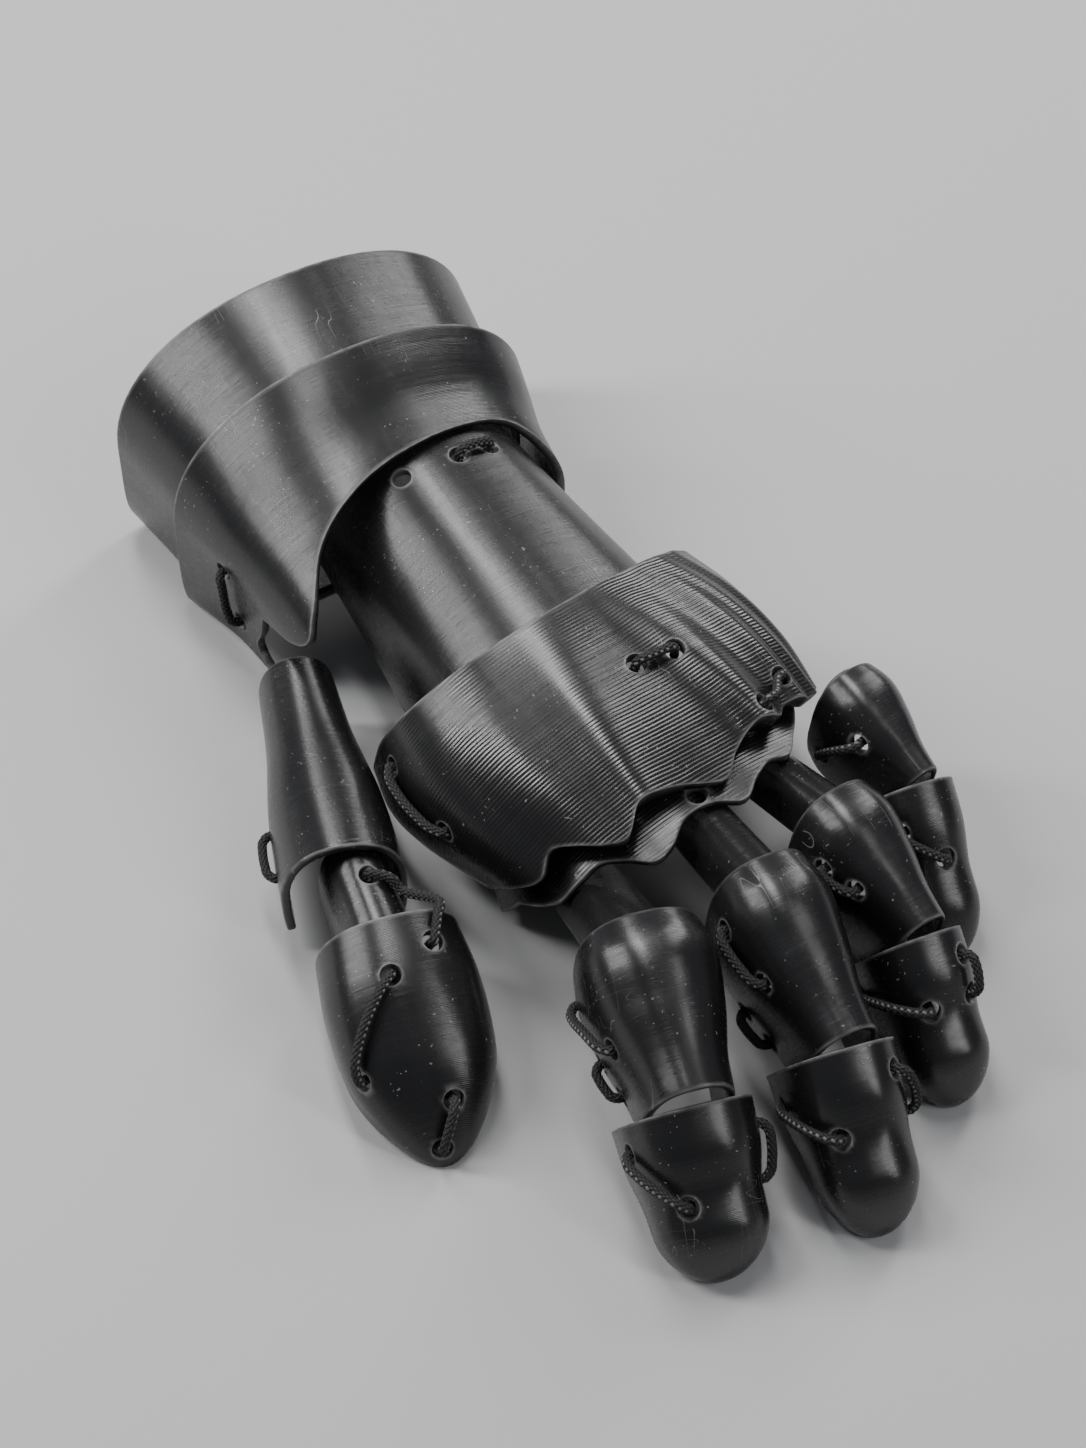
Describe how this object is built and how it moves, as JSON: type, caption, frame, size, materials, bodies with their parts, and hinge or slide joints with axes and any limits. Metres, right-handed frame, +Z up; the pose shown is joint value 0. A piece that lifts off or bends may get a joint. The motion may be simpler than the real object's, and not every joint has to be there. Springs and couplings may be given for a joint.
{
  "type": "armoured fencing glove",
  "caption": "Armoured glove of arched plates over the cuff, hand and fingers, laced together with cord through round holes.",
  "frame": {"origin": "middle of the underside: centre of the box round the glove, on the surface that it lies on", "axes": "+Z up, +Y from the finger tips to the cuff's mouth, -X towards the thumb"},
  "size_m": [0.195, 0.3352, 0.083],
  "materials": {
    "black_printed_plastic": "satin to glossy black plastic with fine printed layer lines",
    "black_braided_cord": "black round braid with two rows of pale flecks"
  },
  "bodies": {
    "root": {"cuff_front_plate": "black_printed_plastic", "cuff_rear_plate": "black_printed_plastic", "hand_back_plate": "black_printed_plastic", "index_mid_plate": "black_printed_plastic", "index_root_plate": "black_printed_plastic", "index_tip_plate": "black_printed_plastic", "knuckle_plate": "black_printed_plastic", "knuckle_under_plate": "black_printed_plastic", "little_mid_plate": "black_printed_plastic", "little_root_plate": "black_printed_plastic", "little_tip_plate": "black_printed_plastic", "middle_mid_plate": "black_printed_plastic", "middle_root_plate": "black_printed_plastic", "middle_tip_plate": "black_printed_plastic", "ring_mid_plate": "black_printed_plastic", "ring_root_plate": "black_printed_plastic", "ring_tip_plate": "black_printed_plastic", "thumb_base_plate": "black_printed_plastic", "thumb_joint_plate": "black_printed_plastic", "thumb_tip_plate": "black_printed_plastic", "lacing_cuff_thumb": "black_braided_cord", "lacing_cuff_top": "black_braided_cord", "lacing_index_loop": "black_braided_cord", "lacing_index_mid": "black_braided_cord", "lacing_index_side": "black_braided_cord", "lacing_index_tip": "black_braided_cord", "lacing_knuckle_left": "black_braided_cord", "lacing_knuckle_right": "black_braided_cord", "lacing_knuckle_top": "black_braided_cord", "lacing_little_mid": "black_braided_cord", "lacing_little_tip": "black_braided_cord", "lacing_middle_loop": "black_braided_cord", "lacing_middle_mid": "black_braided_cord", "lacing_middle_side": "black_braided_cord", "lacing_middle_tip": "black_braided_cord", "lacing_ring_mid": "black_braided_cord", "lacing_ring_side": "black_braided_cord", "lacing_ring_tip": "black_braided_cord", "lacing_thumb_base": "black_braided_cord", "lacing_thumb_slot": "black_braided_cord", "lacing_thumb_tip": "black_braided_cord", "lacing_thumb_toe": "black_braided_cord"}
  },
  "joints": []
}
